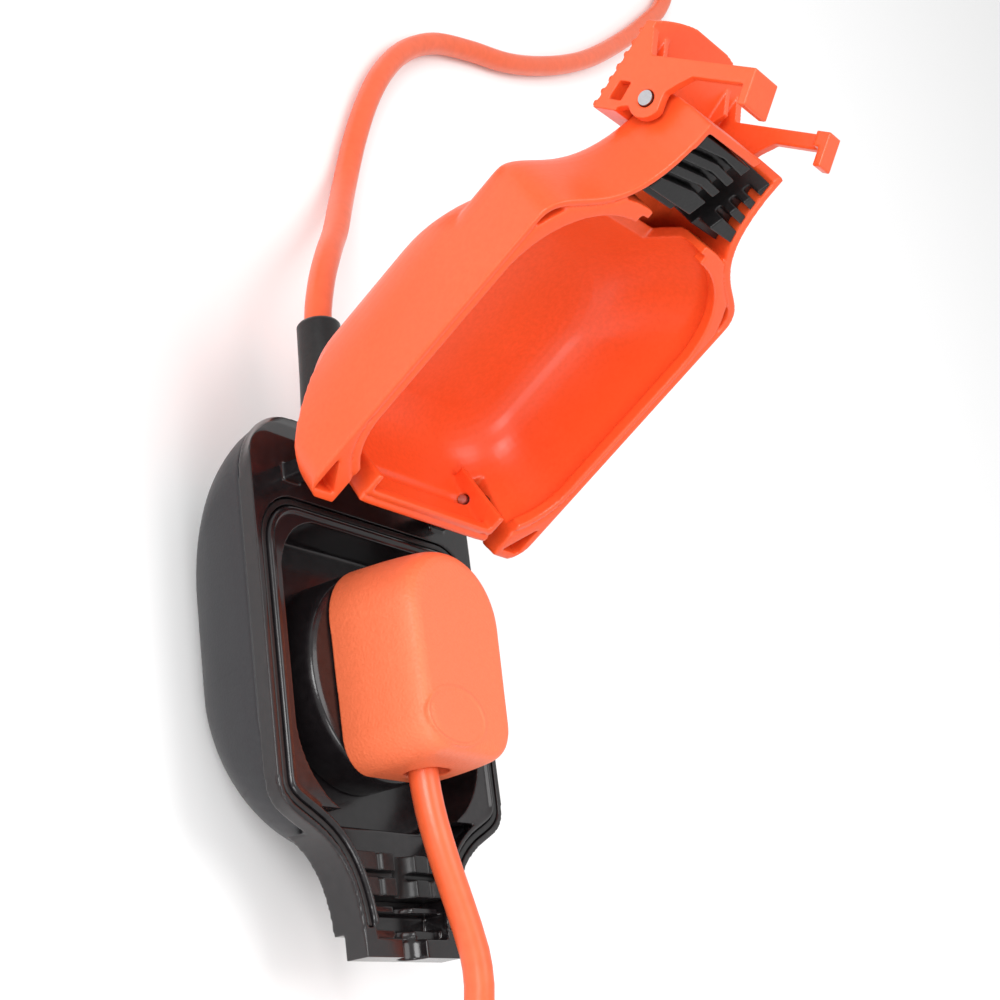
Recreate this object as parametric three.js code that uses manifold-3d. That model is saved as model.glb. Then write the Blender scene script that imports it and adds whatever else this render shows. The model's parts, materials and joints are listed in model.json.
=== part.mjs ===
// A weatherproof extension lead: a black two-part socket box with a hinged orange lid, an orange
// flex on a black strain relief, and the lead's own fused plug parked in the box's socket.
// Millimetres, +Z up. The box lies on its flat rear face, with the hinge end towards +Y and the
// neck, where a flex leaves the box, towards -Y. The origin is on the resting face.

import * as THREE from 'three';
import { mergeVertices } from 'three/addons/utils/BufferGeometryUtils.js';
import Module from 'manifold-3d';

const wasm = await Module();
wasm.setup();

// ---- Driving dimensions ----
const HALF_WIDTH = 52;
const NECK_END = -88;
// Each outline's hinge end in y and its corner radius there: the lid, the widest line of the base,
// the edge of the base's front face, and the line that the gasket's channel is set in from.
const LID_END = { y: 54, corner: 26 };
const BASE_END = { y: 69, corner: 24 };
const FACE_END = { y: 60, corner: 8 };
const SEAL_END = { y: 43.5, corner: 18 };
const SHOULDER_Y = -41;
const NECK_HALF = 21.5;
const FLANGE_Z = 38;
const SEAM_Z = 33;
const GAP = 0.3;
const WALL = 2.4;
const CAVITY_FLOOR = 22;
const CAVITY_INSET = 9.2;
const CAVITY_TOP = 35.4;
const COVER_BOTTOM = -60;
const TROUGH_BOTTOM = 27;
const CATCH_Z = 30.5;
const CATCH_Y = -81;
const NECK_ROOT = -54.5;

const HINGE_Y = 50;
const HINGE_Z = FLANGE_Z + 16;
const HINGE_BORE = 1.9;
const LID_OPEN_ANGLE = THREE.MathUtils.degToRad(120);
const RIM_Z = FLANGE_Z + 0.8;
const ROOF_Z = FLANGE_Z + 40;
const NECK_ROOF_Z = FLANGE_Z + 28;

const LATCH_Y = -81;
const LATCH_Z = FLANGE_Z + 20;
const LATCH_BORE = 2.5;
const LATCH_OPEN_ANGLE = THREE.MathUtils.degToRad(28);
const ARM_INNER = 23;
const ARM_OUTER = 26;
const LEG_LENGTH = 31;
const HOOK_HEIGHT = 4.5;
const CATCH_PLAY = 1;

const SOCKET_Y = -7;
const BOSS_RADIUS = 32;
const FACE_Z = FLANGE_Z - 1;
const PIN_PITCH = 22.2;
const LINE_PINS_Y = -18.5;
const EARTH_PIN_Y = LINE_PINS_Y + PIN_PITCH;
const LINE_PIN = { width: 6.35, height: 4, length: 17.7 };
const EARTH_PIN = { width: 4, height: 8, length: 22.7 };

const PLUG_BACK = FACE_Z + GAP;
const PLUG_HALF = 23.3;
const PLUG_TOP = 25.5;
const PLUG_BOTTOM = -38;
const PLUG_DEPTH = 29;
const PLUG_CORD_Z = PLUG_BACK + 10.2;
const PLUG_CORD_HOLE = { radius: 5.6, depth: 7 };

// Cuts and trims across the box reach this far to each side of its middle, and to this y past the
// end of the neck.
const REACH = 60;
const PAST_NECK = -100;

const CORD_RADIUS = 4.4;
const SLEEVE_Z = 26.6;
const SLEEVE_START = 51;
const SLEEVE_END = 112;
const SLEEVE_HOLE = { cover: 7.4, housing: 7.35 };
const FLANGE_RECESS = { radius: 9.1, depth: 5.2 };

// ---- Materials ----
const paint = (color, roughness, metalness = 0) =>
  new THREE.MeshStandardMaterial({ color, roughness, metalness });
const BLACK_SHELL = paint(0x26272a, 0.5);
const BLACK_GLOSS = paint(0x0e0d0e, 0.25);
const BLACK_RUBBER = paint(0x1a1a1b, 0.65);
const ORANGE_SHELL = paint(0xf0562b, 0.42);
const ORANGE_PLUG = paint(0xf58a63, 0.55);
const ORANGE_FLEX = paint(0xee5f33, 0.5);
const BRASS = paint(0xc9a24f, 0.3, 1);
const STEEL = paint(0xb9bcc0, 0.3, 1);
const WHITE_PLASTIC = paint(0xd9d5cc, 0.5);
const CERAMIC = paint(0xe9e6dd, 0.35);
const BROWN_CORE = paint(0x6b3d22, 0.5);
const BLUE_CORE = paint(0x2a57a5, 0.5);
const GREEN_CORE = paint(0x6f9a2e, 0.5);

// ---- Solids ----
function solid(geometry) {
  const bare = geometry.clone();
  bare.deleteAttribute('normal');
  bare.deleteAttribute('uv');
  const merged = mergeVertices(bare, 1e-4);
  return new wasm.Manifold(new wasm.Mesh({
    numProp: 3,
    vertProperties: new Float32Array(merged.attributes.position.array),
    triVerts: new Uint32Array(merged.index.array),
  }));
}

function box(x0, x1, y0, y1, z0, z1) {
  const geometry = new THREE.BoxGeometry(x1 - x0, y1 - y0, z1 - z0);
  geometry.translate((x0 + x1) / 2, (y0 + y1) / 2, (z0 + z1) / 2);
  return solid(geometry);
}

// A round bar along x, y or z, from one end to the other, with its centre at the two other
// coordinates in the order x, y, z.
function bar(axis, radius, from, to, centre, sides = 20) {
  const geometry = new THREE.CylinderGeometry(radius, radius, to - from, sides);
  if (axis === 'x') geometry.rotateZ(-Math.PI / 2);
  if (axis === 'z') geometry.rotateX(Math.PI / 2);
  const middle = (from + to) / 2;
  const [a, b] = centre;
  if (axis === 'x') geometry.translate(middle, a, b);
  if (axis === 'y') geometry.translate(a, middle, b);
  if (axis === 'z') geometry.translate(a, b, middle);
  return solid(geometry);
}

function prism(points, z0, z1) {
  const options = { depth: z1 - z0, bevelEnabled: false };
  const geometry = new THREE.ExtrudeGeometry(new THREE.Shape(points), options);
  geometry.translate(0, 0, z0);
  return solid(geometry);
}

// A plate whose outline is drawn in (y, z), from x0 to x1.
function sidePlate(points, x0, x1) {
  const options = { depth: x1 - x0, bevelEnabled: false };
  const geometry = new THREE.ExtrudeGeometry(new THREE.Shape(points), options);
  const turn = new THREE.Matrix4().set(0, 0, 1, x0, 1, 0, 0, 0, 0, 1, 0, 0, 0, 0, 0, 1);
  geometry.applyMatrix4(turn);
  return solid(geometry);
}

// A solid skinned over rings with equal numbers of points, from the lowest ring up.
function loft(rings) {
  const count = rings[0].points.length;
  const positions = rings.flatMap(({ points, z }) => points.flatMap((p) => [p.x, p.y, z]));
  const faces = [];
  for (let level = 0; level < rings.length - 1; level += 1) {
    for (let i = 0; i < count; i += 1) {
      const a = level * count + i;
      const b = level * count + ((i + 1) % count);
      faces.push(a, b, b + count, a, b + count, a + count);
    }
  }
  const cap = THREE.ShapeUtils.triangulateShape(rings[0].points, []);
  const top = (rings.length - 1) * count;
  for (const [a, b, c] of cap) {
    faces.push(a, c, b, top + a, top + b, top + c);
  }
  const geometry = new THREE.BufferGeometry();
  geometry.setAttribute('position', new THREE.Float32BufferAttribute(positions, 3));
  geometry.setIndex(faces);
  return solid(geometry);
}

function geometryOf(body) {
  const mesh = body.getMesh();
  const geometry = new THREE.BufferGeometry();
  geometry.setAttribute('position', new THREE.BufferAttribute(mesh.vertProperties, 3));
  geometry.setIndex(new THREE.BufferAttribute(mesh.triVerts, 1));
  geometry.computeVertexNormals();
  return geometry;
}

const lead = new THREE.Group();
const lid = new THREE.Group();
const latch = new THREE.Group();
lead.add(lid);
lid.add(latch);
lid.rotation.x = -LID_OPEN_ANGLE;
lid.position.set(0, HINGE_Y, HINGE_Z);
latch.rotation.x = -LATCH_OPEN_ANGLE;
latch.position.set(0, LATCH_Y - HINGE_Y, LATCH_Z - HINGE_Z);

function add(name, body, material, group = lead) {
  const geometry = body instanceof THREE.BufferGeometry ? body : geometryOf(body);
  if (group === lid) geometry.translate(0, -HINGE_Y, -HINGE_Z);
  if (group === latch) geometry.translate(0, -LATCH_Y, -LATCH_Z);
  const mesh = new THREE.Mesh(geometry, material);
  mesh.name = name;
  group.add(mesh);
}

// ---- Outlines ----
// The box's outline seen from the front: a wide body with round corners at the hinge end, drawn in
// by two S-shaped shoulders to the neck. Anticlockwise.
function boxOutline({ y: end, corner }) {
  const path = new THREE.Path();
  const arcX = HALF_WIDTH - corner;
  const arcY = end - corner;
  const upper = SHOULDER_Y - 17;
  const lower = NECK_END + 42;
  path.moveTo(NECK_HALF, NECK_END);
  path.bezierCurveTo(NECK_HALF, lower, HALF_WIDTH, upper, HALF_WIDTH, SHOULDER_Y);
  path.lineTo(HALF_WIDTH, arcY);
  path.absarc(arcX, arcY, corner, 0, Math.PI / 2, false);
  path.lineTo(-arcX, end);
  path.absarc(-arcX, arcY, corner, Math.PI / 2, Math.PI, false);
  path.lineTo(-HALF_WIDTH, SHOULDER_Y);
  path.bezierCurveTo(-HALF_WIDTH, upper, -NECK_HALF, lower, -NECK_HALF, NECK_END);
  return withoutRepeats(path.getPoints(5));
}

function withoutRepeats(points) {
  const last = points.length - 1;
  return points.filter((p, i) => p.distanceTo(points[i === 0 ? last : i - 1]) > 1e-3);
}

function inset(points, distance) {
  const count = points.length;
  return points.map((p, i) => {
    const into = p.clone().sub(points[(i + count - 1) % count]).normalize();
    const out = points[(i + 1) % count].clone().sub(p).normalize();
    const normal = new THREE.Vector2(-(into.y + out.y), into.x + out.x).normalize();
    const stretch = 1 / (normal.y * into.x - normal.x * into.y);
    return p.clone().addScaledVector(normal, distance * stretch);
  });
}

// A rounded rectangle about x = 0 with its own corner radius at each end. Anticlockwise.
function rounded(half, bottom, top, bottomRadius, topRadius, steps = 5) {
  const path = new THREE.Path();
  const quarter = Math.PI / 2;
  path.absarc(half - bottomRadius, bottom + bottomRadius, bottomRadius, -quarter, 0, false);
  path.absarc(half - topRadius, top - topRadius, topRadius, 0, quarter, false);
  path.absarc(topRadius - half, top - topRadius, topRadius, quarter, 2 * quarter, false);
  path.absarc(bottomRadius - half, bottom + bottomRadius, bottomRadius, -2 * quarter, -quarter, false);
  return withoutRepeats(path.getPoints(steps));
}

const outline = boxOutline(LID_END);
const baseOutline = boxOutline(BASE_END);
const sealLine = boxOutline(SEAL_END);

// ---- Rear cover: a pillow-shaped shell with a flat resting face ----
// Each row is a height and how far the pillow's side has drawn in there. Its ends draw in faster.
const PILLOW = [[0, 18], [1.2, 14.5], [4, 10.6], [9, 6.6], [16, 3.2], [25, 0.9], [SEAM_Z - GAP, 0]];
const NECK_END_DRAW = 2;
const HINGE_END_DRAW = 3;
const PILLOW_EDGE = 0.4;

function pillow(grow, lift, top) {
  const rings = PILLOW.map(([z, draw]) => {
    const points = rounded(
      HALF_WIDTH - PILLOW_EDGE - draw + grow,
      COVER_BOTTOM + NECK_END_DRAW * draw - grow,
      BASE_END.y - PILLOW_EDGE - HINGE_END_DRAW * draw + grow,
      36 - 0.7 * draw + 0.6 * grow,
      BASE_END.corner - 0.7 * draw + 0.6 * grow,
    );
    return { points, z: Math.min(z + lift, top) };
  });
  rings[rings.length - 1].z = top;
  return loft(rings);
}

const SCREWS = [[36, 30], [-36, 30], [33, -28], [-33, -28]];
const SCREW_SEAT = 9;
const SCREW_JOIN = 14;
const coverSkin = pillow(0, 0, SEAM_Z - GAP);

function rearCover() {
  let cover = coverSkin.subtract(pillow(-WALL, WALL, SEAM_Z + 1));
  for (const [x, y] of SCREWS) {
    const column = bar('z', 4.8, 0, SCREW_JOIN - GAP, [x, y]);
    cover = cover.add(column.intersect(coverSkin));
    cover = cover.subtract(bar('z', 3.4, -1, SCREW_SEAT, [x, y]));
    cover = cover.subtract(bar('z', 1.9, SCREW_SEAT - 1, SCREW_JOIN + 1, [x, y]));
  }
  const neckRoom = prism(inset(outline, -GAP), TROUGH_BOTTOM - GAP, 60)
    .intersect(box(-REACH, REACH, PAST_NECK, NECK_ROOT + GAP, 0, 60));
  return cover.subtract(neckRoom).subtract(bar('y', SLEEVE_HOLE.cover, 40, 80, [0, SLEEVE_Z], 24));
}

add('rear_cover', rearCover(), BLACK_SHELL);
SCREWS.forEach(([x, y], i) => {
  const head = bar('z', 3, SCREW_SEAT - 2.4, SCREW_SEAT - GAP, [x, y]);
  const shank = bar('z', 1.5, SCREW_SEAT - 1, 18.4, [x, y], 12);
  const recess = box(x - 0.45, x + 0.45, y - 2, y + 2, SCREW_SEAT - 3, SCREW_SEAT - 1.6);
  const cross = box(x - 2, x + 2, y - 0.45, y + 0.45, SCREW_SEAT - 3, SCREW_SEAT - 1.6);
  add(`cover_screw_${i + 1}`, head.add(shank).subtract(recess).subtract(cross), STEEL);
});

// ---- Front housing: rim with gasket channel, cavity tray, neck trough and hinge posts ----
const POST_INNER = 31.5;
const POST_OUTER = 38.5;
const TROUGH_RIBS = [[-75, -73.4], [-81.6, -80]];
// How far the channel's two sides are set in from the seal line, its depth below the front face,
// and the y where it ends in the neck. The gasket lies in it with a gap at its sides and below.
const CHANNEL = { outer: 2, inner: 4.6, depth: 3.4, end: -80 };
const RIM_UPRIGHT = 1.4;

function hingePost(side) {
  const x0 = side > 0 ? POST_INNER : -POST_OUTER;
  const x1 = side > 0 ? POST_OUTER : -POST_INNER;
  const head = bar('x', 3.9, x0, x1, [HINGE_Y, HINGE_Z]);
  const stem = box(x0, x1, HINGE_Y - 3.9, HINGE_Y + 1, FLANGE_Z - GAP, HINGE_Z);
  return head.add(stem).subtract(bar('x', HINGE_BORE, x0 - 1, x1 + 1, [HINGE_Y, HINGE_Z]));
}

function frontHousing() {
  const rim = loft([
    { points: baseOutline, z: SEAM_Z },
    { points: baseOutline, z: SEAM_Z + RIM_UPRIGHT },
    { points: boxOutline(FACE_END), z: FLANGE_Z },
  ]);
  const neckSpace = box(-REACH, REACH, PAST_NECK, NECK_ROOT, 0, 60).add(box(-22, 22, -60, -48, 0, 60));
  const neck = prism(outline, TROUGH_BOTTOM, FLANGE_Z).intersect(neckSpace);
  const tray = prism(inset(outline, CAVITY_INSET - 2.2), CAVITY_FLOOR - 2.4, SEAM_Z + 1)
    .intersect(prism(rounded(44.4, -52.6, CAVITY_TOP + 2.2, 30, 20), 0, 50))
    .intersect(pillow(-WALL - GAP, WALL + GAP, SEAM_Z + 2));
  const hollow = prism(inset(outline, CAVITY_INSET), CAVITY_FLOOR, FLANGE_Z + 1)
    .intersect(prism(rounded(42.4, -50.4, CAVITY_TOP, 27, 18), 0, 50));
  const trough = prism(inset(outline, 5.4), TROUGH_BOTTOM + WALL, FLANGE_Z + 1)
    .intersect(box(-REACH, REACH, -85, -48, 0, 60));
  const channel = prism(inset(sealLine, CHANNEL.outer), FLANGE_Z - CHANNEL.depth, FLANGE_Z + 1)
    .subtract(prism(inset(sealLine, CHANNEL.inner), FLANGE_Z - 5, FLANGE_Z + 2))
    .intersect(box(-REACH, REACH, CHANNEL.end, 60, 0, 60));
  let body = rim.add(neck).add(tray);
  for (const [x, y] of SCREWS) {
    body = body.add(bar('z', 4.2, SCREW_JOIN, CAVITY_FLOOR - 1, [x, y]));
    body = body.subtract(bar('z', 1.8, 0, CAVITY_FLOOR - 2.6, [x, y]));
  }
  body = body.subtract(hollow).subtract(trough);
  for (const [y0, y1] of TROUGH_RIBS) {
    const rib = box(-18, 18, y0, y1, TROUGH_BOTTOM + 1, FLANGE_Z - 3);
    body = body.add(rib.intersect(neck));
  }
  body = body.subtract(channel);
  body = body.subtract(bar('y', 5.4, -90, -72, [0, FLANGE_Z]));
  body = body.subtract(box(-REACH, REACH, -90, CATCH_Y, 20, CATCH_Z));
  body = body.subtract(bar('z', BOSS_RADIUS - 4, 10, CAVITY_FLOOR + 1, [0, SOCKET_Y], 32));
  body = body.subtract(bar('y', SLEEVE_HOLE.housing, 46, 80, [0, SLEEVE_Z], 24));
  const { radius, depth } = FLANGE_RECESS;
  body = body.subtract(bar('y', radius, SLEEVE_START - GAP, SLEEVE_START + depth, [0, SLEEVE_Z], 24));
  return body.add(hingePost(1)).add(hingePost(-1));
}

add('front_housing', frontHousing(), BLACK_GLOSS);

function rimGasket() {
  const low = FLANGE_Z - CHANNEL.depth + GAP;
  const outer = prism(inset(sealLine, CHANNEL.outer + GAP), low, FLANGE_Z - 0.6);
  const inner = prism(inset(sealLine, CHANNEL.inner - GAP), FLANGE_Z - 5, FLANGE_Z + 2);
  return outer.subtract(inner).intersect(box(-REACH, REACH, CHANNEL.end + GAP, 60, 0, 60));
}

add('rim_gasket', rimGasket(), BLACK_RUBBER);

function trimmedToTrough(body) {
  return body.intersect(prism(inset(outline, 5.8), 0, 100));
}

function neckSeal() {
  const block = box(-30, 30, -71, -59, TROUGH_BOTTOM + WALL + GAP, FLANGE_Z - 0.5);
  const groove = bar('y', 4.9, -72, -58, [0, FLANGE_Z + 0.6]);
  return trimmedToTrough(block.subtract(groove)).subtract(box(-30, 30, -66, -64, 34.5, 50));
}

add('neck_seal', neckSeal(), BLACK_RUBBER);

// ---- Socket: raised face, shutter, contacts and their carrier ----
const PIN_SLOTS = [
  { x: -PIN_PITCH / 2, y: LINE_PINS_Y, pin: LINE_PIN },
  { x: PIN_PITCH / 2, y: LINE_PINS_Y, pin: LINE_PIN },
  { x: 0, y: EARTH_PIN_Y, pin: EARTH_PIN },
];
const CARRIER_SCREWS = [[-20, 6], [20, 6]];
const FACE_THICKNESS = 3;

function slotBox({ x, y, pin }, play, z0, z1) {
  const halfWidth = pin.width / 2 + play;
  const halfHeight = pin.height / 2 + play;
  return box(x - halfWidth, x + halfWidth, y - halfHeight, y + halfHeight, z0, z1);
}

function socketFace() {
  const rings = [[FACE_Z - 14.7, 0], [FACE_Z - 2.4, 0], [FACE_Z - 0.7, 0.8], [FACE_Z, 2.6]];
  const circle = (radius) => Array.from({ length: 36 }, (_, i) => {
    const angle = (i * Math.PI) / 18;
    return new THREE.Vector2(radius * Math.cos(angle), SOCKET_Y + radius * Math.sin(angle));
  });
  let face = loft(rings.map(([z, draw]) => ({ points: circle(BOSS_RADIUS - draw), z })));
  face = face.subtract(
    bar('z', BOSS_RADIUS - 2.6, 0, FACE_Z - FACE_THICKNESS, [0, SOCKET_Y], 36),
  );
  for (const slot of PIN_SLOTS) {
    face = face.subtract(slotBox(slot, 0.5, FACE_Z - 5, FACE_Z + 1));
  }
  for (const [x, y] of CARRIER_SCREWS) {
    face = face.add(bar('z', 3.6, 12, FACE_Z - 1, [x, y]));
    face = face.subtract(bar('z', 1.8, 11, 22, [x, y]));
  }
  return face;
}

add('socket_face', socketFace(), BLACK_GLOSS);

// The shutter lies behind the socket face, drawn in its open place with the pins through it. Each
// opening is longer than its pin on the side towards the neck.
const SHUTTER_Z = 31;

function shutter() {
  const z1 = SHUTTER_Z + 2.2;
  let plate = box(-16, 16, -28, -11.5, SHUTTER_Z, z1);
  plate = plate.add(box(-5, 5, -12, 11.5, SHUTTER_Z, z1));
  for (const { x, y, pin } of PIN_SLOTS) {
    const half = pin.width / 2 + 0.4;
    const back = y - pin.height / 2 - (pin === EARTH_PIN ? 6.2 : 4.6);
    plate = plate.subtract(box(x - half, x + half, back, y + pin.height / 2 + 0.4, 20, 40));
  }
  return plate;
}

add('shutter', shutter(), WHITE_PLASTIC);

// Each contact is a folded brass sleeve that grips its pin, with a foot for its terminal screw.
const CONTACT_TOP = 30;
const CARRIER_Z = 8;
const CARRIER_TOP = 11;

function contact(slot, footX, footY) {
  const { x, y } = slot;
  const z0 = CARRIER_TOP + GAP;
  const foot = box(
    Math.min(x, footX) - 2, Math.max(x, footX) + 2,
    Math.min(y, footY) - 2, Math.max(y, footY) + 2, z0, z0 + 2,
  );
  const head = box(footX - 3.6, footX + 3.6, footY - 3.6, footY + 3.6, z0, z0 + 6);
  return slotBox(slot, 1.4, z0, CONTACT_TOP)
    .add(foot)
    .add(head)
    .subtract(slotBox(slot, 0.45, z0 - 1, CONTACT_TOP + 1))
    .subtract(bar('z', 1.9, z0 - 1, z0 + 8, [footX, footY], 12));
}

const TERMINALS = [
  { name: 'neutral', slot: PIN_SLOTS[0], foot: [-22, -12] },
  { name: 'live', slot: PIN_SLOTS[1], foot: [22, -12] },
  { name: 'earth', slot: PIN_SLOTS[2], foot: [0, 16] },
];
for (const { name, slot, foot } of TERMINALS) {
  add(`${name}_contact`, contact(slot, ...foot), BRASS);
  const screwFoot = CARRIER_TOP + GAP + 0.6;
  const shank = bar('z', 1.55, screwFoot, screwFoot + 8, foot, 12);
  const head = bar('z', 2.7, screwFoot + 6, screwFoot + 8.4, foot, 16);
  const slotCut = box(foot[0] - 3, foot[0] + 3, foot[1] - 0.4, foot[1] + 0.4, screwFoot + 7.4, 40);
  add(`${name}_terminal_screw`, shank.add(head).subtract(slotCut), STEEL);
}

function contactCarrier() {
  let carrier = bar('z', BOSS_RADIUS - 5, CARRIER_Z, CARRIER_TOP, [0, SOCKET_Y], 32);
  for (const [x, y] of CARRIER_SCREWS) {
    carrier = carrier.subtract(bar('z', 1.9, 0, 20, [x, y], 12));
  }
  return carrier;
}

add('contact_carrier', contactCarrier(), WHITE_PLASTIC);
CARRIER_SCREWS.forEach(([x, y], i) => {
  const head = bar('z', 3, CARRIER_Z - 2.4, CARRIER_Z - GAP, [x, y], 16);
  const shank = bar('z', 1.5, CARRIER_Z - 1, 20, [x, y], 12);
  add(`carrier_screw_${i + 1}`, head.add(shank), STEEL);
});

// ---- Flex entry: the strain relief and the three cores behind it ----
// The strain relief is turned about the flex, from its flange inside the box to its outer end.
const SLEEVE_PROFILE = [
  [4.7, SLEEVE_START], [8.8, SLEEVE_START], [8.8, SLEEVE_START + 3.9], [7.05, SLEEVE_START + 4.7],
  [7.05, BASE_END.y + 0.4], [8.4, BASE_END.y + 1], [8.4, BASE_END.y + 10], [7.6, 94],
  [7, SLEEVE_END - 1], [6.2, SLEEVE_END], [4.7, SLEEVE_END],
];

function turnedAboutFlex(profile, sides) {
  const points = profile.map(([radius, along]) => new THREE.Vector2(radius, along));
  const geometry = new THREE.LatheGeometry([...points, points[0]], sides);
  geometry.translate(0, 0, SLEEVE_Z);
  return solid(geometry);
}

add('strain_relief', turnedAboutFlex(SLEEVE_PROFILE, 28), BLACK_RUBBER);

// The flex is stripped inside the strain relief, and its cores run under the cavity tray.
const CORE_RADIUS = 1.4;
const EARTH_ROUTE = [
  [0, 56, 29.2], [0, 50, 28.6], [0, 45, 24.5], [0, 41, 19], [0, 36.6, 15.8], [0, 30, 14.7],
  [0, 20, 14.3],
];
const LINE_ROUTE = [
  [2.2, 56, 26], [2.4, 50, 25.4], [3, 45.5, 21.8], [4, 41.5, 17.6], [6.4, 36, 15.3],
  [16, 24, 14.6], [25.6, 10, 14.5], [26, 0, 14.5], [24, -8, 14.3],
];
const MIRRORED_LINE_ROUTE = LINE_ROUTE.map(([x, y, z]) => [-x, y, z]);

// A round flexible tube along a smooth curve through the points.
function tube(points, radius, sides, steps, tension) {
  const centres = points.map((p) => new THREE.Vector3(...p));
  const route = new THREE.CatmullRomCurve3(centres, false, 'centripetal', tension);
  const section = new THREE.Shape();
  section.absarc(0, 0, radius, 0, 2 * Math.PI, false);
  const options = { steps, bevelEnabled: false, extrudePath: route, curveSegments: sides / 2 };
  return solid(new THREE.ExtrudeGeometry(section, options));
}

add('live_core', tube(LINE_ROUTE, CORE_RADIUS, 8, 16, 0.5), BROWN_CORE);
add('neutral_core', tube(MIRRORED_LINE_ROUTE, CORE_RADIUS, 8, 16, 0.5), BLUE_CORE);
add('earth_core', tube(EARTH_ROUTE, CORE_RADIUS, 8, 16, 0.5), GREEN_CORE);

// ---- Hinge pins ----
for (const side of [-1, 1]) {
  const x0 = side > 0 ? POST_INNER - 3.6 : -POST_OUTER - 3.4;
  const pin = bar('x', HINGE_BORE - GAP, x0, x0 + 14, [HINGE_Y, HINGE_Z], 16);
  add(side > 0 ? 'hinge_pin_right' : 'hinge_pin_left', pin, STEEL);
}

// ---- Lid, drawn closed and turned open with its group ----
// The deep bell over the plug, each row a height and how far the side has drawn in.
const BELL = [
  [RIM_Z, 0], [RIM_Z + 14, 0.8], [FLANGE_Z + 26, 2.6], [FLANGE_Z + 33, 5.4],
  [FLANGE_Z + 37, 9], [FLANGE_Z + 39.2, 14], [ROOF_Z, 19],
];
const NECK_DOME = [
  [RIM_Z, 0], [FLANGE_Z + 14, 0.7], [FLANGE_Z + 22, 2.2], [FLANGE_Z + 26, 4.6], [NECK_ROOF_Z, 9],
];

function bell(grow, lift, low) {
  const rings = BELL.map(([z, draw]) => {
    const d = draw - grow;
    const slope = 0.7 * Math.max(0, z - FLANGE_Z - 12);
    const points = rounded(
      HALF_WIDTH - d, COVER_BOTTOM + d + slope, LID_END.y - d, 34 - 0.7 * d, LID_END.corner - 0.6 * d,
    );
    return { points, z: z + lift };
  });
  rings[0].z = low;
  return loft(rings);
}

function dome(grow, lift, low) {
  const rings = NECK_DOME.map(([z, draw]) => ({ points: inset(outline, draw - grow), z: z + lift }));
  rings[0].z = low;
  return loft(rings);
}

// The flex leaves the neck slanting to one side of the middle, over the rim of the box.
const OUTLET = { x: 8.25, y: -74, z: FLANGE_Z + 10.5, slant: 20.6, radius: 5.4 };

function outletSpace(length) {
  const { x, y, z, slant, radius } = OUTLET;
  const slot = box(-radius, radius, -length, length, FLANGE_Z - 8, z);
  return slot.add(bar('y', radius, -length, length, [0, z], 24)).rotate([0, 0, slant]).translate([x, y, 0]);
}

function hingeEar(side) {
  const mirror = (a, b) => (side > 0 ? [a, b] : [-b, -a]);
  const ear = box(...mirror(POST_OUTER + 0.6, 49.5), 37, 54, RIM_Z, HINGE_Z + 4.5);
  const pocket = box(...mirror(POST_OUTER + 2.6, 47.6), 39, 52, RIM_Z - 1, HINGE_Z + 2.4);
  const inner = box(...mirror(POST_INNER - 2.8, POST_INNER - 0.6), 44, 53, RIM_Z, HINGE_Z + 9);
  return { ear: ear.add(inner), pocket };
}

function lidShell() {
  const outer = bell(0, 0, RIM_Z).add(dome(0, 0, RIM_Z));
  const bellRoom = bell(-WALL, -WALL, RIM_Z - 1);
  const bellWall = bell(0, 0, RIM_Z - 2).subtract(bellRoom);
  const passage = box(-15, 15, -80, -40, 0, FLANGE_Z + 20);
  const neckRoom = dome(-WALL, -WALL, RIM_Z - 1).subtract(bellWall.subtract(passage));
  let shell = outer.subtract(bellRoom).subtract(neckRoom);
  for (const side of [-1, 1]) {
    const { ear, pocket } = hingeEar(side);
    const x0 = side > 0 ? POST_INNER - 0.6 : -POST_OUTER - 0.6;
    const postRoom = box(x0, x0 + 8.2, 38, 60, 30, HINGE_Z + 7.5);
    shell = shell.add(ear).subtract(pocket).subtract(postRoom);
  }
  shell = shell.subtract(bar('x', HINGE_BORE, -43, 43, [HINGE_Y, HINGE_Z], 16));
  const outlet = outletSpace(20).intersect(box(-REACH, REACH, PAST_NECK, -80, 0, 100));
  shell = shell.subtract(outlet);
  return shell.subtract(bar('x', LATCH_BORE, -40, 40, [LATCH_Y, LATCH_Z]));
}

add('lid_shell', lidShell(), ORANGE_SHELL, lid);

// The lid's seal is a rubber block with fins across it and a channel for the flex.
function lidSeal() {
  const room = dome(-WALL - GAP, -WALL - GAP, RIM_Z - 5);
  let block = box(-30, 30, -84.6, -62, RIM_Z + 0.6, FLANGE_Z + 17.4).intersect(room);
  block = block.subtract(outletSpace(30));
  for (const y of [-82.4, -77.6, -72.8]) {
    block = block.subtract(box(-30, 30, y, y + 2.2, 30, RIM_Z + 4.4));
  }
  return block.subtract(box(-30, 30, -64.6, -60, 30, RIM_Z + 6));
}

add('lid_seal', lidSeal(), BLACK_RUBBER, lid);
const latchPin = bar('x', LATCH_BORE - GAP, -ARM_OUTER - 0.5, ARM_OUTER + 0.5, [LATCH_Y, LATCH_Z]);
add('latch_pin', latchPin, STEEL, lid);

// ---- Latch lever, drawn latched and swung open with its group ----
// The pad's upper surface runs between these points, and at its back it is this thick.
const PAD_BACK = [4.5, 16.4];
const PAD_TIP = [-21.4, 8.3];
const PAD_THICKNESS = 3.3;
// The side arms, in (y, z) about the pin: along the pad, down the leg and back, then round the boss.
const ARM = [
  PAD_BACK, PAD_TIP, [-20.4, 4.8], [-12.2, 2], [-12.2, -LEG_LENGTH], [-7.6, -LEG_LENGTH],
  [-7.6, -9], [-3.6, -5.2], [0, -5.6], [3.6, -4.2], [5.4, -0.6], [5, 4],
];
// The hooks turn in under the neck. The one beside the flex is narrower, to pass it.
const HOOKS = [[-ARM_OUTER, -13.4], [19.4, ARM_OUTER]];
const RIB_COUNT = 6;

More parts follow.
